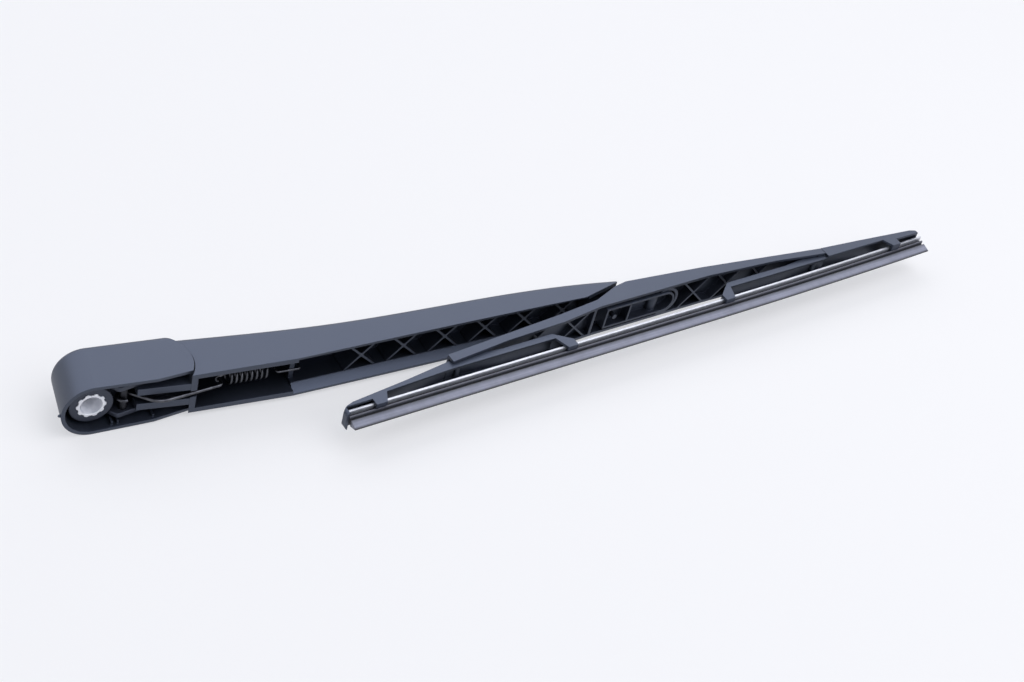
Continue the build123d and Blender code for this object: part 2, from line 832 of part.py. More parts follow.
def build_lever(side, pivot, inner_u, outer_u, shoulder, nose, nose_low, nose_roof, outer_half, lift, rise):
    """Lever with a claw at its inner end, one near its nose, and a closed nose."""
    lever_u, lever_v = pivot
    shoulder_u, shoulder_top = shoulder
    nose_u, nose_v = nose
    half_claw = side * claw_width / 2
    lever_crown = lever_v + lever_lug_radius
    back = [
        (nose_u, nose_v),
        (nose_u - side * nose_wall, lever_nose_top + lift - nose_wall),
        (nose_u - side * nose_length, lever_nose_top + lift),
        (lever_u + side * lever_outer_run, lever_outer_top + lift),
        (shoulder_u, shoulder_top),
        (shoulder_u, lever_crown - lever_neck_fall),
        (lever_u, lever_crown),
        (lever_u - side * lever_inner_run, lever_inner_top),
        (inner_u + side * claw_width, lever_inner_top),
        (inner_u - half_claw, tunnel_top),
    ]
    with BuildPart() as hollow:
        with BuildSketch(blade):
            with BuildLine():
                Polyline(
                    (nose_u - side * nose_wall, nose_roof),
                    *[(u, v - lever_web) for u, v in back[2:4]],
                    (shoulder_u + side * lever_wall, shoulder_top - lever_web),
                    (shoulder_u + side * lever_wall, lever_crown - lever_neck_fall - lever_web),
                    *[(u, v - lever_web) for u, v in back[6:9]],
                    (inner_u - half_claw, tunnel_top),
                    (inner_u - half_claw, 0),
                    (nose_u - side * nose_wall, 0),
                    close=True,
                )
            make_face()
        extrude(amount=outer_half, both=True)
        with BuildSketch(blade_level(0)):
            with Locations((nose_u / 2, 0)):
                Rectangle(abs(nose_u), 2 * (lever_half - lever_wall))
            with Locations(((shoulder_u + nose_u) / 2 + side * lever_wall, 0)):
                Rectangle(abs(nose_u - shoulder_u), 2 * (outer_half - lever_wall))
        extrude(amount=cut_reach, mode=Mode.INTERSECT)
    with BuildPart() as lever:
        with BuildSketch(blade):
            with BuildLine():
                Polyline(
                    *back,
                    (inner_u - half_claw, claw_foot_low),
                    (inner_u + half_claw, claw_foot_low),
                    (inner_u + side * claw_width, lever_inner_rim),
                    (shoulder_u, lever_inner_rim),
                    (outer_u - side * claw_width, lever_outer_rim + rise),
                    (outer_u - half_claw, claw_foot_low + rise),
                    (outer_u + half_claw, claw_foot_low + rise),
                    (outer_u + half_claw, lever_nose_rim + rise),
                    (nose_u - side * nose_wall, lever_nose_rim + rise),
                    (nose_u - side * nose_wall, nose_low),
                    (nose_u, nose_low),
                    close=True,
                )
            make_face()
        extrude(amount=outer_half, both=True)
        with BuildSketch(blade_level(0)) as plan:
            with Locations((nose_u / 2, 0)):
                Rectangle(abs(nose_u), 2 * lever_half)
            with Locations(((shoulder_u + nose_u) / 2, 0)):
                Rectangle(abs(nose_u - shoulder_u), 2 * outer_half)
            fillet(plan.vertices().sort_by(lambda corner: side * corner.X)[-2:], nose_corner_radius)
        extrude(amount=cut_reach, mode=Mode.INTERSECT)
        add(hollow.part, mode=Mode.SUBTRACT)
        for claw_u, half, low in ((inner_u, lever_half, 0), (outer_u, outer_half, rise)):
            with BuildSketch(blade_level(claw_foot_low + low)):
                with Locations((claw_u, 0)):
                    Rectangle(claw_width, 2 * half)
                    Rectangle(claw_width, 2 * claw_opening, mode=Mode.SUBTRACT)
            extrude(amount=claw_foot_thickness)
        with BuildSketch(blade):
            with Locations((lever_u, lever_v)):
                Circle(lever_lug_radius)
        extrude(amount=lever_half - lever_wall / 2, both=True)
        with BuildSketch(blade):
            with Locations((lever_u, lever_v)):
                Circle(lever_pin_radius + running_gap)
        extrude(amount=lever_half, both=True, mode=Mode.SUBTRACT)
    return lever.part


# Line of the rubber strip, which bows away from the glass towards its right end
with BuildLine(blade) as strip_path:
    Line((rubber_left, 0), (bow_start_u, 0))
    JernArc((bow_start_u, 0), (1, 0), bow_radius, bow_angle)

# Rubber strip: one section along the whole blade
with BuildPart() as squeegee_rubber:
    with BuildSketch(blade_section(rubber_left)):
        with BuildLine():
            Polyline(
                (0, 0),
                (lip_tip_half, 0),
                (lip_root_half, lip_height),
                (neck_half, neck_low),
                (neck_half, bead_low),
                (bead_half, bead_low),
                (bead_half, bead_low + bead_height),
                (flexor_inner - flexor_seat_gap, bead_low + bead_height),
                (flexor_inner - flexor_seat_gap, flexor_high + flexor_seat_gap),
                (rubber_head_half, flexor_high + flexor_seat_gap),
                (rubber_head_half, rubber_top),
                (0, rubber_top),
                close=True,
            )
        make_face()
        mirror(about=Plane.YZ)
    sweep(path=strip_path.line)


def build_flexor(side):
    """Flat steel strip in the groove on one side of the rubber."""
    with BuildPart() as strip:
        with BuildSketch(blade_section(rubber_left)):
            with Locations((-side * (flexor_inner + flexor_outer) / 2, (flexor_low + flexor_high) / 2)):
                Rectangle(flexor_outer - flexor_inner, flexor_thickness)
        sweep(path=strip_path.line)
    return strip.part


left_lever = build_lever(
    side=-1,
    pivot=(left_pivot_u, left_pivot_v),
    inner_u=left_inner_claw_u,
    outer_u=left_claw_u,
    shoulder=(bridge_left_end - lever_shoulder_gap, left_shoulder),
    nose=(left_nose_u, left_nose_v),
    nose_low=claw_foot_low,
    nose_roof=tunnel_top,
    outer_half=lever_half,
    lift=0,
    rise=0,
)
right_lever = build_lever(
    side=1,
    pivot=(right_pivot_u, right_pivot_v),
    inner_u=right_inner_claw_u,
    outer_u=right_claw_u,
    shoulder=(bridge_right_end + lever_shoulder_gap, right_shoulder),
    nose=(right_nose_u, right_nose_v),
    nose_low=tunnel_top + bow_rise,
    nose_roof=tunnel_top + bow_rise,
    outer_half=right_outer_half,
    lift=right_lever_lift,
    rise=right_claw_rise,
)

finished = {
    "head_body": head_body.part,
    "spline_bush": spline_bush.part,
    "hinge_pin_upper": hinge_pins["hinge_pin_upper"],
    "hinge_pin_lower": hinge_pins["hinge_pin_lower"],
    "anchor_pin": anchor_pin.part,
    "head_cover": head_cover.part,
    "arm_channel": arm_channel.part,
    "pivot_clip": pivot_clip.part,
    "tension_hook": tension_hook.part,
    "tension_spring": tension_spring.part,
    "main_bridge": main_bridge.part,
    "blade_pin": blade_pin.part,
    "left_lever_pin": build_lever_pin(left_pivot_u, left_pivot_v),
    "right_lever_pin": build_lever_pin(right_pivot_u, right_pivot_v),
    "left_lever": left_lever,
    "right_lever": right_lever,
    "squeegee_rubber": squeegee_rubber.part,
    "flexor_upper": build_flexor(1),
    "flexor_lower": build_flexor(-1),
}

os.makedirs("parts", exist_ok=True)
for name, piece in finished.items():
    piece.label = name
    export_step(piece, f"parts/{name}.step")
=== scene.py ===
"""Rear wiper arm with its blade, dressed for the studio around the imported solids."""

import logging
from dataclasses import dataclass, field
from enum import Enum
from typing import Any

import bpy
import numpy as np
from mathutils import Matrix, Vector


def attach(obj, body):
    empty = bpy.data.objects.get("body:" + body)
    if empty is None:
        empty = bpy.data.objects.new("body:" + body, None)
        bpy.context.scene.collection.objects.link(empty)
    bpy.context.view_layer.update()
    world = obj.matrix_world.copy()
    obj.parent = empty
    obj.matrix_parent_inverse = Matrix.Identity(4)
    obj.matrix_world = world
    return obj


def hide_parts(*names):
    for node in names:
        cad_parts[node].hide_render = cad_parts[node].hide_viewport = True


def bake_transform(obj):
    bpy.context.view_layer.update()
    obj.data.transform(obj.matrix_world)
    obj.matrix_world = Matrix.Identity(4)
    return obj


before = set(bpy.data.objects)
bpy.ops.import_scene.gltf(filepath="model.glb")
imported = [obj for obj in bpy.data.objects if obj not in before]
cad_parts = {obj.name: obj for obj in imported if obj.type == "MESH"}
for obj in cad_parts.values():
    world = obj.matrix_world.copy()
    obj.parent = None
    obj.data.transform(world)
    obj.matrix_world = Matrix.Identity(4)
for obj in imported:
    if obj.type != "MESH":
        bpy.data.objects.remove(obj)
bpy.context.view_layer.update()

Pair = tuple[float, float]
Triple = tuple[float, float, float]
Sockets = dict[str | int, Any]

LOG = logging.getLogger("wiper_arm")
# Millimetres to metres.
MM = 0.001
# The blade's tilt against the arm at rest, in degrees.
BLADE_ANGLE = 7.4
# Rings along each half of the strip.
STATIONS = 220
# A rounded corner takes no more than this share of a side.
LONGEST_CUT = 0.45
# Distance between the points of a wire's line, in millimetres.
LINE_SPACING = 0.25
# A direction that no wire here follows.
OFF_LINE = (0.31, 0.52, 0.79)
# Span in which most values of a noise lie, and the detail of a soft and of a fine one.
NOISE_SPAN = (0.32, 0.68)
SOFT_DETAIL = 3.0
FINE_DETAIL = 4.0


class Side(Enum):
    """Half of the blade, counted from the pivot."""

    LEFT = -1
    RIGHT = 1


class Slot(Enum):
    """Material slots of the record."""

    PLASTIC = "plastic"
    CAST = "cast_metal"
    BUSH = "bush_metal"
    STEEL = "steel"
    STRIP = "strip_steel"
    RUBBER = "rubber"


# ---------------------------------------------------------------- colour and nodes

def to_linear(code: str) -> tuple[float, float, float, float]:
    """Turns an sRGB hex colour into a linear one.

    Args:
        code: Colour as "#rrggbb".

    Returns:
        Linear red, green, blue and an alpha of one.
    """
    srgb = np.array([int(code[i:i + 2], 16) for i in (1, 3, 5)]) / 255.0
    linear = np.where(srgb <= 0.04045, srgb / 12.92, ((srgb + 0.055) / 1.055) ** 2.4)
    return (*[float(c) for c in linear], 1.0)


def add_node(tree: bpy.types.NodeTree, kind: str, settings: Sockets | None = None,
             links: Sockets | None = None) -> bpy.types.Node:
    """Adds one shader node with its settings and the links into it.

    Args:
        tree: Node tree that takes the node.
        kind: Blender's name of the node type.
        settings: Attributes of the node, or socket values under the socket's name or number.
        links: Output sockets to join, under the name or number of the input each goes to.

    Returns:
        The new node.
    """
    node = tree.nodes.new(kind)
    for name, value in (settings or {}).items():
        if isinstance(name, int) or name in node.inputs:
            node.inputs[name].default_value = value
        else:
            setattr(node, name, value)
    for name, socket in (links or {}).items():
        tree.links.new(socket, node.inputs[name])
    return node


def new_material(name: str) -> tuple[bpy.types.Material, bpy.types.NodeTree]:
    """Makes an empty node material.

    Args:
        name: Name of the finish.

    Returns:
        The material and its node tree.
    """
    material = bpy.data.materials.new(name)
    material.use_nodes = True
    material.node_tree.nodes.clear()
    return material, material.node_tree


def two_tone(tree: bpy.types.NodeTree, noise: bpy.types.NodeSocket, dark: str,
             pale: str) -> bpy.types.Node:
    """Mixes two colours over the span in which most of a noise lies.

    Args:
        tree: Node tree that takes the nodes.
        noise: Noise output that drives the mix.
        dark: Colour at the low end.
        pale: Colour at the high end.

    Returns:
        The node that gives the colour.
    """
    share = add_node(tree, "ShaderNodeMapRange",
                     {"From Min": NOISE_SPAN[0], "From Max": NOISE_SPAN[1]}, {"Value": noise})
    return add_node(tree, "ShaderNodeMixRGB",
                    {"Color1": to_linear(dark), "Color2": to_linear(pale)},
                    {"Fac": share.outputs["Result"]})


def drawn_marks(tree: bpy.types.NodeTree, place: bpy.types.NodeSocket, size_mm: Triple,
                angle_deg: float, detail: float) -> bpy.types.NodeSocket:
    """Adds a noise that is stretched the way a tool went.

    Args:
        tree: Node tree that takes the nodes.
        place: Object coordinates.
        size_mm: Size of a mark along the turned axes, in millimetres.
        angle_deg: Turn of those axes about z.
        detail: Detail of the noise.

    Returns:
        The noise's output.
    """
    turned = add_node(tree, "ShaderNodeMapping",
                      {"vector_type": "TEXTURE", "Rotation": (0.0, 0.0, np.radians(angle_deg)),
                       "Scale": [mm * MM for mm in size_mm]}, {"Vector": place})
    return add_node(tree, "ShaderNodeTexNoise", {"Scale": 1.0, "Detail": detail},
                    {"Vector": turned.outputs["Vector"]}).outputs["Fac"]


def sees_surround(tree: bpy.types.NodeTree) -> bpy.types.NodeSocket:
    """Picks the rays that see the white surround: from the camera, off a gloss or through glass.

    Args:
        tree: Node tree of the floor or the world.

    Returns:
        A socket that is one for such a ray and nought for any other.
    """
    ray = add_node(tree, "ShaderNodeLightPath").outputs
    direct = add_node(tree, "ShaderNodeMath", {"operation": "MAXIMUM"},
                      {0: ray["Is Camera Ray"], 1: ray["Is Transmission Ray"]})
    return add_node(tree, "ShaderNodeMath", {"operation": "MAXIMUM"},
                    {0: direct.outputs["Value"], 1: ray["Is Glossy Ray"]}).outputs["Value"]


# ---------------------------------------------------------------- finishes

@dataclass(frozen=True)
class GrainedBlack:
    """Black skin with a fine grain, a broad cool sheen, edges that handling has rubbed paler, and
    painted shade that darkens its pockets.
    """

    name: str
    slot: Slot
    dark: str
    pale: str
    worn: str
    roughness: float
    grain_mm: float
    grain_depth: float
    edge_mm: float
    sheen: float
    sheen_tint: str = "#d2e0ff"
    ior: float = 1.55
    spread: float = 0.05
    grain_height_mm: float = 0.08
    cloud_mm: float = 14.0
    edge_samples: int = 4
    edge_span: Pair = (0.995, 0.86)
    edge_wear: float = 0.55
    # Painted shade in the pockets: its colour, the reach and samples of the occlusion that finds
    # them, and the span that maps it.
    pocket_shade: str = "#060709"
    pocket_shade_mm: float = 22.0
    pocket_shade_samples: int = 6
    pocket_shade_span: Pair = (0.97, 0.6)

    def material(self) -> bpy.types.Material:
        """Builds the node material.

        Returns:
            The finished material.
        """
        material, tree = new_material(self.name)
        place = add_node(tree, "ShaderNodeTexCoord").outputs["Object"]
        # The real grain is about 0.1 mm; it is drawn coarser so that it shows at this distance.
        grain = add_node(tree, "ShaderNodeTexNoise",
                         {"Scale": 1.0 / (self.grain_mm * MM), "Detail": FINE_DETAIL},
                         {"Vector": place}).outputs["Fac"]
        # Flow of the melt or the coat leaves cloudy patches about 14 mm across.
        cloud = add_node(tree, "ShaderNodeTexNoise",
                         {"Scale": 1.0 / (self.cloud_mm * MM), "Detail": SOFT_DETAIL},
                         {"Vector": place}).outputs["Fac"]
        tint = two_tone(tree, cloud, self.dark, self.pale)
        soft = add_node(tree, "ShaderNodeBevel", {"samples": self.edge_samples,
                                                  "Radius": self.edge_mm * MM}).outputs["Normal"]
        flat = add_node(tree, "ShaderNodeNewGeometry").outputs["Normal"]
        # Where the softened normal leaves the true one there is an edge, which is rubbed paler.
        turn = add_node(tree, "ShaderNodeVectorMath", {"operation": "DOT_PRODUCT"},
                        {0: soft, 1: flat})
        edge = add_node(tree, "ShaderNodeMapRange",
                        {"From Min": self.edge_span[0], "From Max": self.edge_span[1],
                         "To Max": self.edge_wear}, {"Value": turn.outputs["Value"]})
        patchy = add_node(tree, "ShaderNodeMath", {"operation": "MULTIPLY"},
                          {0: edge.outputs["Result"], 1: grain})
        # Painted shade: an ambient occlusion mask darkens the pockets towards near black and keeps
        # the rubbed paler edges out of them.
        ao_openness = add_node(tree, "ShaderNodeAmbientOcclusion",
                            {"samples": self.pocket_shade_samples, "only_local": True,
                             "Distance": self.pocket_shade_mm * MM}, {"Normal": soft})
        pocket_shade = add_node(tree, "ShaderNodeMapRange",
                          {"From Min": self.pocket_shade_span[0], "From Max": self.pocket_shade_span[1]},
                          {"Value": ao_openness.outputs["AO"]}).outputs["Result"]
        wear_outside_pocket_shade = add_node(tree, "ShaderNodeMath", {"operation": "SUBTRACT", "use_clamp": True},
                           {0: patchy.outputs["Value"], 1: pocket_shade})
        tint_with_pocket_shade = add_node(tree, "ShaderNodeMixRGB", {"Color2": to_linear(self.pocket_shade)},
                             {"Fac": pocket_shade, "Color1": tint.outputs["Color"]})
        worn = add_node(tree, "ShaderNodeMixRGB", {"Color2": to_linear(self.worn)},
                        {"Fac": wear_outside_pocket_shade.outputs["Value"], "Color1": tint_with_pocket_shade.outputs["Color"]})
        rough = add_node(tree, "ShaderNodeMapRange", {"To Min": self.roughness - self.spread,
                                                      "To Max": self.roughness + self.spread},
                         {"Value": cloud})
        bump = add_node(tree, "ShaderNodeBump", {"Strength": self.grain_depth,
                                                 "Distance": self.grain_height_mm * MM},
                        {"Height": grain, "Normal": soft})
        shader = add_node(tree, "ShaderNodeBsdfPrincipled",
                          {"IOR": self.ior, "Specular IOR Level": self.sheen,
                           "Specular Tint": to_linear(self.sheen_tint)},
                          {"Base Color": worn.outputs["Color"],
                           "Roughness": rough.outputs["Result"], "Normal": bump.outputs["Normal"]})
        add_node(tree, "ShaderNodeOutputMaterial", None, {"Surface": shader.outputs["BSDF"]})
        return material


@dataclass(frozen=True)
class DustedRubber:
    """Rubber with a dusted lip: pale grey with drawn lines on the lip, black on the back."""

    name: str
    slot: Slot
    back: str
    lip_dark: str
    lip_pale: str
    line_mm: float
    angle_deg: float
    line_stretch: float = 100.0
    line_depth: float = 0.2
    line_height_mm: float = 0.05
    patch_mm: float = 5.0
    patch_share: float = 0.4
    roughness: Pair = (0.5, 0.72)
    ior: float = 1.52

    def material(self) -> bpy.types.Material:
        """Builds the node material, which reads the share of dust from the piece's attribute.

        Returns:
            The finished material.
        """
        material, tree = new_material(self.name)
        place = add_node(tree, "ShaderNodeTexCoord").outputs["Object"]
        # The die draws lines along the strip: 0.3 mm across and a hundred times as long.
        line = (self.line_stretch * self.line_mm, self.line_mm, self.line_mm)
        lines = drawn_marks(tree, place, line, self.angle_deg, SOFT_DETAIL)
        # The dust lies in patches about 5 mm across.
        patch = add_node(tree, "ShaderNodeTexNoise",
                         {"Scale": 1.0 / (self.patch_mm * MM), "Detail": FINE_DETAIL},
                         {"Vector": place})
        both = add_node(tree, "ShaderNodeMixRGB", {"Fac": self.patch_share},
                        {"Color1": lines, "Color2": patch.outputs["Fac"]}).outputs["Color"]
        lip = two_tone(tree, both, self.lip_dark, self.lip_pale)
        share = add_node(tree, "ShaderNodeAttribute", {"attribute_name": "dust"})
        colour = add_node(tree, "ShaderNodeMixRGB", {"Color1": to_linear(self.back)},
                          {"Fac": share.outputs["Fac"], "Color2": lip.outputs["Color"]})
        rough = add_node(tree, "ShaderNodeMapRange",
                         {"To Min": self.roughness[0], "To Max": self.roughness[1]},
                         {"Value": both})
        bump = add_node(tree, "ShaderNodeBump", {"Strength": self.line_depth,
                                                 "Distance": self.line_height_mm * MM},
                        {"Height": lines})
        shader = add_node(tree, "ShaderNodeBsdfPrincipled", {"IOR": self.ior},
                          {"Base Color": colour.outputs["Color"],
                           "Roughness": rough.outputs["Result"], "Normal": bump.outputs["Normal"]})
        add_node(tree, "ShaderNodeOutputMaterial", None, {"Surface": shader.outputs["BSDF"]})
        return material


@dataclass(frozen=True)
class BareMetal:
    """Metal with the marks of its making, which spread its glints and dull it in patches.

    The field bare is the share that shines as clean metal; the rest is a pale oxide.
    """

    name: str
    slot: Slot
    bright: str
    dull: str
    roughness: float
    mark_mm: Triple
    angle_deg: float = 0.0
    bore_roughness: float = 0.0
    bare: float = 1.0
    spread: Pair = (-0.08, 0.12)
    mark_depth: float = 0.15
    mark_height_mm: float = 0.05
    stain_mm: float = 3.0

    def material(self) -> bpy.types.Material:
        """Builds the node material.

        Returns:
            The finished material.
        """
        material, tree = new_material(self.name)
        place = add_node(tree, "ShaderNodeTexCoord").outputs["Object"]
        # Rolling, drawing or turning marks, stretched the way the tool went.
        marks = drawn_marks(tree, place, self.mark_mm, self.angle_deg, FINE_DETAIL)
        # Stains about 3 mm across.
        stain = add_node(tree, "ShaderNodeTexNoise",
                         {"Scale": 1.0 / (self.stain_mm * MM), "Detail": SOFT_DETAIL},
                         {"Vector": place})
        tint = two_tone(tree, stain.outputs["Fac"], self.dull, self.bright)
        rough = add_node(tree, "ShaderNodeMapRange", {"To Min": self.roughness + self.spread[0],
                                                      "To Max": self.roughness + self.spread[1]},
                         {"Value": marks}).outputs["Result"]
        if self.bore_roughness:
            # The bore is left as cast, which is rougher than the turned face.
            share = add_node(tree, "ShaderNodeAttribute", {"attribute_name": "bore"})
            rough = add_node(tree, "ShaderNodeMath",
                             {"operation": "MULTIPLY_ADD", 1: self.bore_roughness},
                             {0: share.outputs["Fac"], 2: rough}).outputs["Value"]
        bump = add_node(tree, "ShaderNodeBump", {"Strength": self.mark_depth,
                                                 "Distance": self.mark_height_mm * MM},
                        {"Height": marks})
        shader = add_node(tree, "ShaderNodeBsdfPrincipled", {"Metallic": self.bare},
                          {"Base Color": tint.outputs["Color"], "Roughness": rough,
                           "Normal": bump.outputs["Normal"]})
        add_node(tree, "ShaderNodeOutputMaterial", None, {"Surface": shader.outputs["BSDF"]})
        return material


Finish = GrainedBlack | DustedRubber | BareMetal

# Glass-filled polymer from a spark-eroded mould: near black, with a broad cool sheen.
PLASTIC = GrainedBlack("moulded_glass_filled_plastic", Slot.PLASTIC, "#1a1d23", "#20232a", "#4a4e58",
                       roughness=0.46, grain_mm=0.7, grain_depth=0.16, edge_mm=0.3, sheen=0.85)
# Casting under a baked black coat: a coarser grain, a duller sheen and greyer edges.
CAST = GrainedBlack("black_coated_casting", Slot.CAST, "#1c1d22", "#24252b", "#5a5c62",
                    roughness=0.45, grain_mm=1.2, grain_depth=0.25, edge_mm=0.35, sheen=0.65)
# Extruded rubber with graphite on its lip: a matt grey lip under a black back.
RUBBER = DustedRubber("graphite_dusted_rubber", Slot.RUBBER, "#131316", "#74747c", "#90909a",
                      line_mm=0.3, angle_deg=BLADE_ANGLE)
# Aluminium with a turned face and a bore as cast: nearly white, with a soft glint.
BUSH = BareMetal("die_cast_aluminium", Slot.BUSH, "#f2f2f4", "#dedfe3", roughness=0.3,
                 mark_mm=(0.4, 3.0, 0.4), bore_roughness=0.35, bare=0.55)
# Blackened steel with turning marks: dark, with a narrow glint.
PIN = BareMetal("blackened_pin_steel", Slot.STEEL, "#3a3b40", "#2b2c30", roughness=0.42,
                mark_mm=(0.3, 0.3, 2.0))
# Drawn wire under a phosphate coat: mid grey, with a line of light along each turn.
WIRE = BareMetal("phosphated_spring_wire", Slot.STEEL, "#5d5e63", "#404146", roughness=0.36,
                 mark_mm=(2.0, 0.3, 0.3))
# Cold-rolled stainless steel: bright, with its glints drawn out along the strip.
STRIP = BareMetal("rolled_stainless_strip", Slot.STRIP, "#c6c7ca", "#b4b5b9", roughness=0.38,
                  mark_mm=(25.0, 0.4, 0.4), angle_deg=BLADE_ANGLE, bare=0.7)


class Wardrobe:
    """Keeps one material per finish."""

    def __init__(self) -> None:
        """Starts with nothing made."""
        self.made: dict[str, bpy.types.Material] = {}

    def dress(self, piece: bpy.types.Object, finish: Finish) -> None:
        """Gives a piece the material of a finish and reports it.

        Args:
            piece: Object to dress.
            finish: Finish whose material it takes.
        """
        if finish.name not in self.made:
            self.made[finish.name] = finish.material()
        piece.data.materials.clear()
        piece.data.materials.append(self.made[finish.name])
        LOG.info("%s: %s", piece.name, finish.name)

    def dress_nodes(self, nodes: tuple[str, ...], finish: Finish) -> None:
        """Gives the named solids the material of a finish."""
        for node in nodes:
            self.dress(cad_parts[node], finish)


# ---------------------------------------------------------------- surfaces

def full_turn(count: int) -> np.ndarray:
    """Gives evenly spaced angles round a circle, in radians."""
    return np.linspace(0.0, 2 * np.pi, count, endpoint=False)


def corner_curves(start: np.ndarray, corner: np.ndarray, end: np.ndarray, steps: int) -> np.ndarray:
    """Draws a quadratic curve in the place of each corner.

    The curve is (1-t)^2 start + 2t(1-t) corner + t^2 end, with t from nought to one.

    Args:
        start: Where each curve starts, one row each.
        corner: The corners.
        end: Where each curve ends.
        steps: Points on each curve.

    Returns:
        The points of all curves, one after the other.
    """
    t = np.linspace(0.0, 1.0, steps)[None, :, None]
    curve = (1 - t) ** 2 * start[:, None] + 2 * t * (1 - t) * corner[:, None] + t ** 2 * end[:, None]
    return curve.reshape(-1, corner.shape[1])


def rounded_loop(corners: np.ndarray, radius: float, steps: int = 4) -> np.ndarray:
    """Rounds the corners of a closed outline.

    Each corner gives way to a quadratic curve that starts and ends a radius away along the two
    sides, or at the longest cut that a short side allows.

    Args:
        corners: Corner points, one row each.
        radius: Distance from a corner to the start of its curve.
        steps: Points on each curve.

    Returns:
        Points of the rounded outline.
    """
    to_last = np.roll(corners, 1, axis=0) - corners
    to_next = np.roll(corners, -1, axis=0) - corners
    share_last = np.minimum(radius / np.linalg.norm(to_last, axis=1), LONGEST_CUT)[:, None]
    share_next = np.minimum(radius / np.linalg.norm(to_next, axis=1), LONGEST_CUT)[:, None]
    return corner_curves(corners + to_last * share_last, corners, corners + to_next * share_next,
                         steps)


def skin(name: str, rings: np.ndarray, endless: bool = False) -> bpy.types.Object:
    """Joins closed rings of points into one closed mesh.

    Ring i, point j is joined to its neighbours (i+1, j), (i+1, j+1) and (i, j+1) by a quad, j
    running round. The first and last rings are closed by a face each, or joined to each other where
    the rings run round too. The faces are turned outwards by the sign of the enclosed volume.

    Args:
        name: Name of the piece.
        rings: Points in millimetres, indexed by ring, place in the ring, and axis.
        endless: Whether the last ring is followed by the first.

    Returns:
        The new object, at the origin.
    """
    count, around, _ = rings.shape
    last = count if endless else count - 1
    ring, spot = np.meshgrid(np.arange(last), np.arange(around), indexing="ij")
    next_ring, next_spot = (ring + 1) % count, (spot + 1) % around
    quads = np.stack([ring * around + spot, next_ring * around + spot,
                      next_ring * around + next_spot, ring * around + next_spot], axis=-1)
    quads = quads.reshape(-1, 4)
    points = rings.reshape(-1, 3) * MM
    a, b, c, d = (points[quads[:, k]] - points.mean(axis=0) for k in range(4))
    volume = np.sum(a * (np.cross(b, c) + np.cross(c, d)))
    rim = np.arange(around)
    caps = [] if endless else [rim, rim[::-1] + (count - 1) * around]
    if volume < 0:
        quads, caps = quads[:, ::-1], [cap[::-1] for cap in caps]
    mesh = bpy.data.meshes.new(name)
    mesh.from_pydata(points.tolist(), [], quads.tolist() + [cap.tolist() for cap in caps])
    smooth = np.r_[np.ones(len(quads), bool), np.zeros(len(caps), bool)]
    mesh.polygons.foreach_set("use_smooth", smooth)
    mesh.validate()
    piece = bpy.data.objects.new(name, mesh)
    bpy.context.scene.collection.objects.link(piece)
    return piece


def set_share(piece: bpy.types.Object, name: str, share: np.ndarray) -> None:
    """Writes a share from nought to one on each point of a piece, for its material to read."""
    attribute = piece.data.attributes.new(name, "FLOAT", "POINT")
    attribute.data.foreach_set("value", share.astype(np.float32))


def slab_rings(outline: np.ndarray, low: float, high: float, edge: float,
               steps: int = 5) -> np.ndarray:
    """Raises an outline into a slab with rounded edges.

    Between the two faces the outline keeps its size; near a face it draws in towards its middle by
    edge (1 - cos a), at edge (1 - sin a) from the face, with a from nought at the side to a quarter
    turn at the face.

    Args:
        outline: Closed outline, x and y in millimetres.
        low: Height of the lower face.
        high: Height of the upper face.
        edge: Radius of the rounded edges.
        steps: Rings on each rounded edge.

    Returns:
        Rings for skin(), with the height as z.
    """
    a = np.linspace(np.pi / 2, 0.0, steps)
    height = np.r_[low + edge * (1 - np.sin(a)), high - edge * (1 - np.sin(a[::-1]))]
    inset = np.r_[edge * (1 - np.cos(a)), edge * (1 - np.cos(a[::-1]))]
    middle = outline.mean(axis=0)
    arm = outline - middle
    length = np.linalg.norm(arm, axis=1, keepdims=True)
    flat = middle + arm * (1 - inset[:, None, None] / length)
    level = np.broadcast_to(height[:, None, None], (*flat.shape[:2], 1))
    return np.concatenate([flat, level], axis=2)


def turned_rings(profile: np.ndarray, around: int) -> np.ndarray:
    """Turns a closed profile about the spindle's line, which is the y axis.

    A profile point (r, y) goes to (r cos a, y, r sin a) at each angle a of a full turn.

    Args:
        profile: Radius and y of each point in millimetres.
        around: Number of angles.

    Returns:
        Rings for skin() with endless set.
    """
    a = full_turn(around)[:, None]
    r, y = profile[None, :, 0], profile[None, :, 1]
    return np.stack([r * np.cos(a), y + 0 * a, r * np.sin(a)], axis=2)


def wire_rings(path: np.ndarray, radius: float, around: int = 16) -> np.ndarray:
    """Carries a circle along a path.

    The circle at a point lies across the tangent there. Its first axis is the tangent crossed with a
    direction that the path never follows, its second the tangent crossed with the first. The twist
    is the angle at which the last point's first axis lies on these two. The circle is
    radius (cos b first + sin b second), with b the angle round it plus all twists so far, so that
    its points run along the wire without winding round it.

    Args:
        path: Points of the centre line in millimetres.
        radius: Radius of the wire.
        around: Points on each circle.

    Returns:
        Rings for skin().
    """
    tangent = np.gradient(path, axis=0)
    tangent /= np.linalg.norm(tangent, axis=1, keepdims=True)
    first = np.cross(tangent, OFF_LINE)
    first /= np.linalg.norm(first, axis=1, keepdims=True)
    second = np.cross(tangent, first)
    twist = np.arctan2(np.sum(first[:-1] * second[1:], axis=1),
                       np.sum(first[:-1] * first[1:], axis=1))
    b = (np.r_[0.0, np.cumsum(twist)][:, None] + full_turn(around))[:, :, None]
    return path[:, None] + radius * (np.cos(b) * first[:, None] + np.sin(b) * second[:, None])


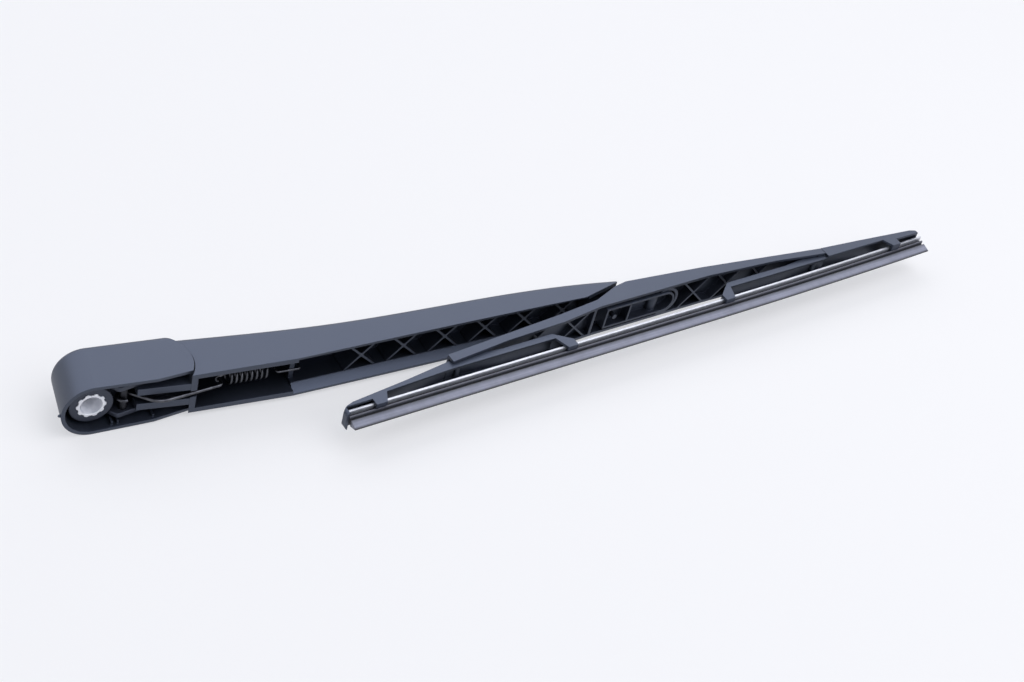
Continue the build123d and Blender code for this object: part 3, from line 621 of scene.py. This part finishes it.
def bent_line(corners: np.ndarray, reach: np.ndarray, steps: int = 24) -> np.ndarray:
    """Draws a wire's centre line with rounded bends.

    Each inner corner gives way to a quadratic curve whose ends lie the bend's reach away along the
    two runs; the line is then resampled at an even spacing.

    Args:
        corners: Corner points in millimetres.
        reach: Reach of the bend at each inner corner.
        steps: Points on each bend.

    Returns:
        Points along the line.
    """
    inner = corners[1:-1]
    back, ahead = corners[:-2] - inner, corners[2:] - inner
    start = inner + back / np.linalg.norm(back, axis=1, keepdims=True) * reach[:, None]
    end = inner + ahead / np.linalg.norm(ahead, axis=1, keepdims=True) * reach[:, None]
    bends = corner_curves(start, inner, end, steps)
    return resampled(np.vstack([corners[:1], bends, corners[-1:]]))


def resampled(path: np.ndarray) -> np.ndarray:
    """Spaces points evenly along a path, by the distance run along it.

    Args:
        path: Points of the path in millimetres.

    Returns:
        The new points.
    """
    run = np.r_[0.0, np.cumsum(np.linalg.norm(np.diff(path, axis=0), axis=1))]
    even = np.linspace(0.0, run[-1], int(run[-1] / LINE_SPACING) + 2)
    return np.stack([np.interp(even, run, path[:, k]) for k in range(3)], axis=1)


# ---------------------------------------------------------------- studio

@dataclass(frozen=True)
class Softbox:
    """One soft lamp: its place, its width and height in metres, and its power in watts."""

    name: str
    place: Triple
    size: Pair
    power: float

    def hang(self, aim: Triple, colour: str) -> None:
        """Hangs the lamp so that it faces the object.

        Args:
            aim: Point that it faces, in metres.
            colour: Colour of its light.
        """
        data = bpy.data.lights.new(self.name, "AREA")
        data.shape, data.energy = "RECTANGLE", self.power
        data.size, data.size_y = self.size
        data.color = to_linear(colour)[:3]
        lamp = bpy.data.objects.new(self.name, data)
        turn = (Vector(aim) - Vector(self.place)).normalized().to_track_quat("-Z", "Y")
        lamp.matrix_world = Matrix.Translation(Vector(self.place)) @ turn.to_matrix().to_4x4()
        bpy.context.scene.collection.objects.link(lamp)


@dataclass
class Studio:
    """Pale floor, soft light and the camera of the photograph, in metres."""

    floor_z: float = -14.7 * MM
    floor_half: float = 6.0
    focal_px: float = 1730.27
    image_px: float = 1024.0
    sensor_mm: float = 36.0
    clip: Pair = (0.01, 20.0)
    eye: Triple = (-0.18419, -0.53474, 0.56565)
    look: Triple = (0.456043, 0.608502, -0.649423)
    up: Triple = (0.151760, 0.665863, 0.730476)
    glow_share: float = 0.56
    lit_reach: Pair = (0.7, 1.8)
    floor_colour: str = "#f0eae0"
    glow_colour: str = "#f6f7fb"
    sky_level: Pair = (0.3, 0.45)
    sky_colour: str = "#c8dafb"
    lamp_colour: str = "#edf0fb"
    aim: Triple = (0.25, 0.0, 0.0)
    lamps: tuple[Softbox, ...] = (
        Softbox("back_softbox", (0.2, 1.7, 1.6), (4.3, 1.8), 42.0),
        Softbox("ceiling_softbox", (0.85, -0.5, 1.3), (1.7, 1.7), 22.0),
        Softbox("left_softbox", (-1.2, 0.1, 0.7), (1.0, 1.0), 4.0))

    def camera(self) -> None:
        """Places the camera on the photograph's line of sight."""
        data = bpy.data.cameras.new("photo_camera")
        data.sensor_width = self.sensor_mm
        data.lens = self.focal_px / self.image_px * data.sensor_width
        data.clip_start, data.clip_end = self.clip
        camera = bpy.data.objects.new("photo_camera", data)
        back = -Vector(self.look).normalized()
        right = Vector(self.up).cross(back).normalized()
        turn = Matrix((right, back.cross(right), back)).transposed().to_4x4()
        camera.matrix_world = Matrix.Translation(Vector(self.eye)) @ turn
        bpy.context.scene.collection.objects.link(camera)
        bpy.context.scene.camera = camera

    def floor(self) -> None:
        """Lays a pale floor that glows a little as part of the surround and takes the shadow."""
        half, z = self.floor_half, self.floor_z
        mesh = bpy.data.meshes.new("studio_floor")
        mesh.from_pydata([(-half, -half, z), (half, -half, z), (half, half, z), (-half, half, z)],
                         [], [(0, 1, 2, 3)])
        floor = bpy.data.objects.new("studio_floor", mesh)
        bpy.context.scene.collection.objects.link(floor)
        material, tree = new_material("floor_paper")
        # Beyond the lamps' reach the paper glows fully, to stay as white as it is near the object.
        spot = add_node(tree, "ShaderNodeTexCoord")
        away = add_node(tree, "ShaderNodeVectorMath", {"operation": "LENGTH"},
                        {0: spot.outputs["Object"]})
        level = add_node(tree, "ShaderNodeMapRange",
                         {"From Min": self.lit_reach[0], "From Max": self.lit_reach[1],
                          "To Min": self.glow_share}, {"Value": away.outputs["Value"]})
        share = add_node(tree, "ShaderNodeMath", {"operation": "MULTIPLY"},
                         {0: sees_surround(tree), 1: level.outputs["Result"]})
        paper = add_node(tree, "ShaderNodeBsdfDiffuse", {"Color": to_linear(self.floor_colour)})
        glow = add_node(tree, "ShaderNodeEmission",
                        {"Color": to_linear(self.glow_colour), "Strength": 1.0})
        mix = add_node(tree, "ShaderNodeMixShader", None,
                       {0: share.outputs["Value"], 1: paper.outputs["BSDF"],
                        2: glow.outputs["Emission"]})
        add_node(tree, "ShaderNodeOutputMaterial", None, {"Surface": mix.outputs["Shader"]})
        mesh.materials.append(material)

    def light(self) -> None:
        """Sets a world that is brighter overhead than at the horizon, and hangs the lamps."""
        world = bpy.data.worlds.new("studio_world")
        bpy.context.scene.world = world
        world.use_nodes = True
        tree = world.node_tree
        tree.nodes.clear()
        way = add_node(tree, "ShaderNodeTexCoord")
        parts = add_node(tree, "ShaderNodeSeparateXYZ", None, {"Vector": way.outputs["Generated"]})
        level = add_node(tree, "ShaderNodeMapRange",
                         {"To Min": self.sky_level[0], "To Max": self.sky_level[1]},
                         {"Value": parts.outputs["Z"]})
        sky = add_node(tree, "ShaderNodeBackground", {"Color": to_linear(self.sky_colour)},
                       {"Strength": level.outputs["Result"]})
        wall = add_node(tree, "ShaderNodeBackground",
                        {"Color": to_linear(self.glow_colour), "Strength": 1.0})
        mix = add_node(tree, "ShaderNodeMixShader", None,
                       {0: sees_surround(tree), 1: sky.outputs["Background"],
                        2: wall.outputs["Background"]})
        add_node(tree, "ShaderNodeOutputWorld", None, {"Surface": mix.outputs["Shader"]})
        for lamp in self.lamps:
            lamp.hang(self.aim, self.lamp_colour)

    def build(self) -> None:
        """Builds the whole studio."""
        self.camera()
        self.floor()
        self.light()
        bpy.context.scene.view_settings.view_transform = "Standard"


# ---------------------------------------------------------------- sub-assemblies

@dataclass
class BladeFrame:
    """Place of the blade: u runs along it, v away from the glass, z across it."""

    pivot: Pair = (304.0, 8.7)
    pivot_u: float = 6.0
    pivot_v: float = 27.0

    def place(self, u: np.ndarray, v: np.ndarray, z: np.ndarray) -> np.ndarray:
        """Turns places on the blade into places in the frame.

        With du and dv counted from the pivot, x is pivot + du cos a - dv sin a and y is
        pivot + du sin a + dv cos a, where a is the blade's tilt.

        Args:
            u: Distance along the blade in millimetres.
            v: Distance from the glass.
            z: Distance across the blade.

        Returns:
            Points with x, y and z along the last axis.
        """
        c, s = np.cos(np.radians(BLADE_ANGLE)), np.sin(np.radians(BLADE_ANGLE))
        du, dv = u - self.pivot_u, v - self.pivot_v
        x, y = self.pivot[0] + du * c - dv * s, self.pivot[1] + du * s + dv * c
        return np.stack([x, y, z + 0.0 * u], axis=-1)

    def metres(self, u: float, v: float) -> Triple:
        """Gives one place on the blade's middle plane in metres."""
        x, y, z = self.place(np.array(u), np.array(v), np.array(0.0)) * MM
        return (float(x), float(y), float(z))


@dataclass
class WipingStrip:
    """Rubber strip and its two steel strips, which bend from the bridge to the levers' claws.

    Sizes across the strip are half widths, and heights are counted from the glass.
    """

    blade: BladeFrame = field(default_factory=BladeFrame)
    left_end: float = -191.8
    right_end: float = 195.3
    bow_start: float = 20.0
    bow_rise: float = 2.85
    overhang: float = 1.8
    cap_share: float = 0.0001
    lip_tip: float = 0.35
    lip_root: float = 1.9
    lip_height: float = 4.6
    dust_heights: tuple[float, ...] = (0.0, 1.2, 2.9, 4.6)
    dust_shares: tuple[float, ...] = (0.0, 1.0, 1.0, 0.1)
    ridge_dust: float = 0.4
    ridge_fade: float = 0.5
    ridge_margin: float = 0.1
    neck_low: float = 5.0
    neck: float = 0.6
    bead_low: float = 6.0
    bead: float = 2.7
    bead_high: float = 6.9
    groove: float = 1.35
    head_low: float = 9.4
    head: float = 2.9
    head_high: float = 10.2
    corner: float = 0.22
    steel_inner: float = 1.5
    steel_outer: float = 4.3
    steel_low: float = 8.05
    steel_high: float = 9.25
    steel_corner: float = 0.16
    bend_start: float = 5.0
    claws: Pair = (-60.0, 42.0)

    def carry(self, outline: np.ndarray, side: Side) -> np.ndarray:
        """Carries an outline along one half of the strip's bowed line.

        Up to the bow's start the line is straight; beyond it, with radius
        R = (run^2 + rise^2) / (2 rise) and angle a = distance / R, it is
        (start + R sin a, R (1 - cos a)), and the outline's v runs along the line's normal
        (-sin a, cos a). The rings at the ends lie close together, which keeps the ends' edges crisp.

        Args:
            outline: Closed outline, z and v in millimetres.
            side: Half of the blade.

        Returns:
            Rings for skin().
        """
        run = self.right_end - self.bow_start
        radius = (run ** 2 + self.bow_rise ** 2) / (2 * self.bow_rise)
        right = self.bow_start + radius * 2 * np.arctan2(self.bow_rise, run) + self.overhang
        reach = self.left_end if side is Side.LEFT else right
        inner = np.linspace(self.cap_share, 1.0 - self.cap_share, STATIONS - 2)
        s = reach * np.r_[0.0, inner, 1.0][:, None]
        a = np.maximum(s - self.bow_start, 0.0) / radius
        z, height = outline[None, :, 0], outline[None, :, 1]
        u = np.minimum(s, self.bow_start) + radius * np.sin(a) - height * np.sin(a)
        v = radius * (1 - np.cos(a)) + height * np.cos(a)
        return self.blade.place(u, v, np.broadcast_to(z, u.shape))

    def join(self, piece: bpy.types.Object, side: Side) -> None:
        """Bakes a half's place into its mesh; the points at the bend's start and at the inner claw
        are worked out but not used.
        """
        claw = self.claws[0] if side is Side.LEFT else self.claws[1]
        self.blade.metres(side.value * self.bend_start, self.bead_low)
        self.blade.metres(claw, self.bead_low)
        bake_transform(piece)

    def rubber_outline(self) -> np.ndarray:
        """Draws the rubber: a tapered lip, a thin neck, a ridge, a groove for the steel, a head.

        The lip's half width grows in a straight line from its tip to its root.

        Returns:
            Closed outline, z and v in millimetres.
        """
        flank = np.array(self.dust_heights)
        taper = self.lip_tip + (self.lip_root - self.lip_tip) * flank / self.lip_height
        upper = np.array([(self.neck, self.neck_low), (self.neck, self.bead_low),
                          (self.bead, self.bead_low), (self.bead, self.bead_high),
                          (self.groove, self.bead_high), (self.groove, self.head_low),
                          (self.head, self.head_low), (self.head, self.head_high)])
        half = np.vstack([np.stack([taper, flank], axis=1), upper])
        return rounded_loop(np.vstack([half, half[::-1] * (-1, 1)]), self.corner)

    def rubber(self, wardrobe: Wardrobe) -> None:
        """Builds and dresses the rubber's halves.

        The dust's share runs in straight lines between the shares at the given heights of the lip;
        on the ridge it grows with the distance past the groove.

        Args:
            wardrobe: Keeper of the materials.
        """
        outline = self.rubber_outline()
        on_lip = np.interp(outline[:, 1], (*self.dust_heights, self.neck_low),
                           (*self.dust_shares, 0.0))
        past = np.clip((np.abs(outline[:, 0]) - self.groove) / self.ridge_fade, 0.0, 1.0)
        below_top = outline[:, 1] < self.bead_high + self.ridge_margin
        dust = np.maximum(on_lip, self.ridge_dust * past * below_top)
        for side in Side:
            piece = skin(f"wiping_rubber_{side.name.lower()}", self.carry(outline, side))
            set_share(piece, "dust", np.tile(dust, STATIONS))
            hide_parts("squeegee_rubber")
            self.join(piece, side)
            wardrobe.dress(piece, RUBBER)

    def steel(self, wardrobe: Wardrobe) -> None:
        """Builds and dresses the flat steel strips with their rolled edges.

        Args:
            wardrobe: Keeper of the materials.
        """
        low, high = self.steel_low, self.steel_high
        for node, sign in (("flexor_upper", 1.0), ("flexor_lower", -1.0)):
            near, far = sign * self.steel_inner, sign * self.steel_outer
            corners = np.array([(near, low), (far, low), (far, high), (near, high)])
            outline = rounded_loop(corners, self.steel_corner)
            for side in Side:
                piece = skin(f"{node}_{side.name.lower()}", self.carry(outline, side))
                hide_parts(node)
                self.join(piece, side)
                wardrobe.dress(piece, STRIP)

    def build(self, wardrobe: Wardrobe) -> None:
        """Builds the rubber and the steel."""
        self.rubber(wardrobe)
        self.steel(wardrobe)


@dataclass
class TensionSpring:
    """Wire hook and coil spring that pull the arm on to the glass."""

    pin: Pair = (15.4, 2.7)
    hook_wire: float = 0.8
    hook_turn: float = 3.05
    hook_angles: Pair = (290.0, 55.0)
    hook_points: int = 60
    dip: Pair = (29.9, -5.0)
    rise_y: float = -0.6
    eye: Pair = (61.4, 5.6)
    hook_bends: Pair = (5.0, 1.9)
    coil_wire: float = 0.6
    coil_radius: float = 3.2
    coil_y: float = 3.7
    coil_start: float = 64.4
    pitch: float = 2.5
    turns: float = 8.19
    coil_points: int = 420
    ring: float = 1.65
    ring_angles: Pair = (300.0, 70.0)
    ring_points: int = 50
    leg_y: float = 1.4
    leg_run: float = 3.0
    leg_slant: float = 1.6
    leg_bends: Triple = (1.0, 0.9, 1.2)
    tail_x: float = 101.05
    tail: float = 6.2

    def hook_line(self) -> np.ndarray:
        """Draws the hook: an arc round the pin, a dip, a long rise and an upturned end.

        The arc is (pin + r cos a, pin + r sin a); the rest is a line with rounded bends.

        Returns:
            Points of the centre line.
        """
        a = np.radians(np.linspace(*self.hook_angles, self.hook_points))
        x, y = self.pin
        arc = np.stack([x + self.hook_turn * np.cos(a), y + self.hook_turn * np.sin(a), 0 * a],
                       axis=1)
        corners = np.array([arc[-1], (*self.dip, 0.0), (self.eye[0], self.rise_y, 0.0),
                            (*self.eye, 0.0)])
        return resampled(np.vstack([arc[:-1], bent_line(corners, np.array(self.hook_bends))]))

    def coil_line(self) -> np.ndarray:
        """Draws the spring: a ring round the hook's end, the coil, and a leg with an upturned tail.

        The ring is (eye + r cos b, y, r sin b). The coil is
        (start + pitch t, y + r sin 2 pi t, r cos 2 pi t) for t from nought to the turns. The leg is
        a line with rounded bends.

        Returns:
            Points of the centre line.
        """
        b = np.radians(np.linspace(*self.ring_angles, self.ring_points))
        ring = np.stack([self.eye[0] + self.ring * np.cos(b), self.coil_y + 0 * b,
                         self.ring * np.sin(b)], axis=1)
        t = np.linspace(0.0, self.turns, self.coil_points)
        coil = np.stack([self.coil_start + self.pitch * t,
                         self.coil_y + self.coil_radius * np.sin(2 * np.pi * t),
                         self.coil_radius * np.cos(2 * np.pi * t)], axis=1)
        end = coil[-1] + (self.leg_run, 0.0, 0.0)
        corners = np.array([coil[-1], end, (end[0] + self.leg_slant, self.leg_y, 0.0),
                            (self.tail_x, self.leg_y, 0.0),
                            (self.tail_x, self.leg_y + self.tail, 0.0)])
        leg = bent_line(corners, np.array(self.leg_bends))
        return resampled(np.vstack([ring, coil, leg[1:]]))

    def build(self, wardrobe: Wardrobe) -> None:
        """Builds and dresses both wires, which swing with the hook.

        Args:
            wardrobe: Keeper of the materials.
        """
        for node, line, radius in (("tension_hook", self.hook_line(), self.hook_wire),
                                   ("tension_spring", self.coil_line(), self.coil_wire)):
            piece = skin(f"{node}_wire", wire_rings(line, radius))
            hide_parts(node)
            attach(piece, "hook")
            wardrobe.dress(piece, WIRE)


@dataclass
class Head:
    """Casting on the spindle with its bush, its pins and the cover over them."""

    bush: float = 7.0
    bush_length: float = 13.0
    bush_corner: float = 0.3
    bush_around: int = 240
    lobes: int = 10
    lobe_height: float = 0.75
    lobe_steepness: float = 2.4
    face_margin: float = 0.5
    mouth: float = 5.1
    mouth_depth: float = 2.0
    taper_end: float = 9.0
    bore: float = 4.05
    bore_margin: Pair = (0.05, 0.2)
    boss: float = 10.2
    boss_face: float = 0.4
    boss_back: float = 15.6
    boss_around: int = 160
    turned_steps: int = 5
    nut_seat: float = 8.2
    cheek: Pair = (6.9, 9.6)
    cheek_start: float = 8.4
    cheek_step: float = 2.4
    cheek_toe: Pair = (12.0, -1.4)
    cheek_high: float = 13.4
    cheek_corner: float = 1.2
    hinge: Pair = (31.0, 8.0)
    eye: float = 5.2
    eye_arc: Pair = (-72.0, 90.0)
    eye_points: int = 24
    web: Pair = (9.6, 12.6)
    web_end: float = 18.5
    web_corner: float = 1.5
    edge: float = 0.45
    gate: Triple = (-14.5, -2.3, -0.5)
    gate_radius: float = 0.8
    gate_height: float = 1.3
    gate_rise: float = 84.0
    gate_rings: int = 12
    gate_around: int = 24
    cover: tuple[str, ...] = ("head_cover",)
    pins: tuple[str, ...] = ("hinge_pin_upper", "hinge_pin_lower", "anchor_pin")

    def spindle_bush(self, wardrobe: Wardrobe) -> None:
        """Builds the bush: a turned profile whose outside swells into lobes.

        The outside radius is lessened by half the lobe's height times
        1 - tanh(steepness cos(lobes a)), fading to nothing at the mouth.

        Args:
            wardrobe: Keeper of the materials.
        """
        corners = np.array([(self.mouth, 0.0), (self.bush, 0.0), (self.bush, self.bush_length),
                            (self.bore, self.bush_length), (self.bore, self.taper_end),
                            (self.mouth, self.mouth_depth)])
        profile = rounded_loop(corners, self.bush_corner, self.turned_steps)
        r, y = profile[:, 0], profile[:, 1]
        face_start = self.mouth + self.face_margin
        outside = np.clip((r - face_start) / (self.bush - face_start), 0.0, 1.0)
        wave = np.tanh(self.lobe_steepness * np.cos(self.lobes * full_turn(self.bush_around)))
        dip = 0.5 * self.lobe_height * (1 - wave)
        shrink = 1 - dip[:, None] * outside[None, :] / r[None, :]
        rings = turned_rings(profile, self.bush_around)
        rings = rings * np.stack([shrink, np.ones_like(shrink), shrink], axis=2)
        piece = skin("spindle_bush", rings, endless=True)
        inside = (r < self.mouth + self.bore_margin[0]) & (y > self.bore_margin[1])
        set_share(piece, "bore", np.tile(inside, self.bush_around))
        self.mount(piece, "spline_bush", BUSH, wardrobe)

    def casting(self, wardrobe: Wardrobe) -> None:
        """Builds the casting: a turned boss, two cheeks that end in the hinge's eyes, and a web.

        An eye's rim is (hinge + r cos a, hinge + r sin a) over its arc.

        Args:
            wardrobe: Keeper of the materials.
        """
        inner = self.bush - self.lobe_height
        corners = np.array([(inner, self.boss_face), (self.boss, self.boss_face),
                            (self.boss, self.boss_back), (self.nut_seat, self.boss_back),
                            (self.nut_seat, self.bush_length), (inner, self.bush_length)])
        profile = rounded_loop(corners, self.edge, self.turned_steps)
        boss = skin("casting_boss", turned_rings(profile, self.boss_around), endless=True)
        self.mount(boss, "head_body", CAST, wardrobe)
        a = np.radians(np.linspace(*self.eye_arc, self.eye_points))
        eye = np.stack([self.hinge[0] + self.eye * np.cos(a),
                        self.hinge[1] + self.eye * np.sin(a)], axis=1)
        outline = np.vstack([(self.cheek_start, self.web[0]), (self.cheek_start, self.cheek_step),
                             self.cheek_toe, eye, (self.cheek_start, self.cheek_high)])
        cheek = slab_rings(rounded_loop(outline, self.cheek_corner), *self.cheek, self.edge)
        for sign, name in ((1.0, "casting_cheek_upper"), (-1.0, "casting_cheek_lower")):
            self.mount(skin(name, cheek * (1.0, 1.0, sign)), "head_body", CAST, wardrobe)
        end, half = self.web_end, self.cheek[1]
        plan = np.array([(0.0, -half), (end, -half), (end, half), (0.0, half)])
        web = slab_rings(rounded_loop(plan, self.web_corner), *self.web, self.edge)
        self.mount(skin("casting_web", web[:, :, [0, 2, 1]]), "head_body", CAST, wardrobe)

    def gate_pip(self, wardrobe: Wardrobe) -> None:
        """Builds the stub that the mould's gate left on the cover's rim.

        It is a dome, (radius cos a, height sin a) turned about a line that points out of the rim.

        Args:
            wardrobe: Keeper of the materials.
        """
        upright = np.array([0.0, 1.0, 0.0])
        out = np.array([self.gate[0], 0.0, self.gate[2]])
        out /= np.linalg.norm(out)
        a = np.linspace(0.0, np.radians(self.gate_rise), self.gate_rings)[:, None, None]
        turn = full_turn(self.gate_around)[None, :, None]
        ring = self.gate_radius * (np.cos(turn) * np.cross(out, upright) + np.sin(turn) * upright)
        rings = np.array(self.gate) + np.cos(a) * ring + self.gate_height * np.sin(a) * out
        piece = skin("cover_gate_pip", rings)
        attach(piece, "cover")
        wardrobe.dress(piece, PLASTIC)

    def mount(self, piece: bpy.types.Object, node: str, finish: Finish,
              wardrobe: Wardrobe) -> None:
        """Fixes a piece to the head in the place of a solid and dresses it.

        Args:
            piece: New piece.
            node: Solid that it stands for.
            finish: Finish that it takes.
            wardrobe: Keeper of the materials.
        """
        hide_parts(node)
        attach(piece, "head")
        wardrobe.dress(piece, finish)

    def build(self, wardrobe: Wardrobe) -> None:
        """Builds the head's own pieces and dresses its solids.

        Args:
            wardrobe: Keeper of the materials.
        """
        self.casting(wardrobe)
        self.spindle_bush(wardrobe)
        self.gate_pip(wardrobe)
        wardrobe.dress_nodes(self.cover, PLASTIC)
        wardrobe.dress_nodes(self.pins, PIN)


@dataclass
class Linkage:
    """Moulded arm with its clip, and the bridge and levers that spread its push on the blade."""

    moulded: tuple[str, ...] = ("arm_channel", "pivot_clip", "main_bridge", "left_lever",
                                "right_lever")
    pins: tuple[str, ...] = ("blade_pin", "left_lever_pin", "right_lever_pin")

    def build(self, wardrobe: Wardrobe) -> None:
        """Dresses the solids."""
        wardrobe.dress_nodes(self.moulded, PLASTIC)
        wardrobe.dress_nodes(self.pins, PIN)


def main() -> None:
    """Builds the studio and every sub-assembly in order."""
    logging.basicConfig(level=logging.INFO, format="%(message)s")
    Studio().build()
    wardrobe = Wardrobe()
    for assembly in (Head(), Linkage(), TensionSpring(), WipingStrip()):
        assembly.build(wardrobe)


if __name__ == "__main__":
    main()
